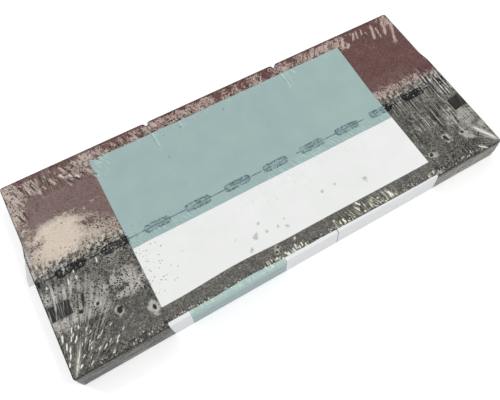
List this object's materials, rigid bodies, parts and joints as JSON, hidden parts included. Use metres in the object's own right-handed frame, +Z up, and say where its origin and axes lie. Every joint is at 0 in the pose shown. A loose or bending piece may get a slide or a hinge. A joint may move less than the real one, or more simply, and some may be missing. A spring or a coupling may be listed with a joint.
{
  "type": "asphalt shingle bundle",
  "caption": "Flat bundle of slotted bitumen roofing shingle strips stacked the same way up and wrapped in clear printed shrink film.",
  "frame": {"origin": "middle of the underside, on the surface that the bundle lies on", "axes": "+X along the strips, +Y towards the tab edge, +Z up through the stack"},
  "size_m": [1.0042, 0.4402, 0.0615],
  "materials": {
    "bitumen_shingle": "matte mineral granules",
    "clear_film": "clear glossy shrink film with a printed panel"
  },
  "bodies": {
    "root": {"shingle_01": "bitumen_shingle", "shingle_02": "bitumen_shingle", "shingle_03": "bitumen_shingle", "shingle_04": "bitumen_shingle", "shingle_05": "bitumen_shingle", "shingle_06": "bitumen_shingle", "shingle_07": "bitumen_shingle", "shingle_08": "bitumen_shingle", "shingle_09": "bitumen_shingle", "shingle_10": "bitumen_shingle", "shingle_11": "bitumen_shingle", "shingle_12": "bitumen_shingle", "shingle_13": "bitumen_shingle", "shingle_14": "bitumen_shingle", "shingle_15": "bitumen_shingle", "shingle_16": "bitumen_shingle", "shingle_17": "bitumen_shingle", "shingle_18": "bitumen_shingle", "shingle_19": "bitumen_shingle", "shingle_20": "bitumen_shingle", "shrink_film": "clear_film"}
  },
  "joints": []
}
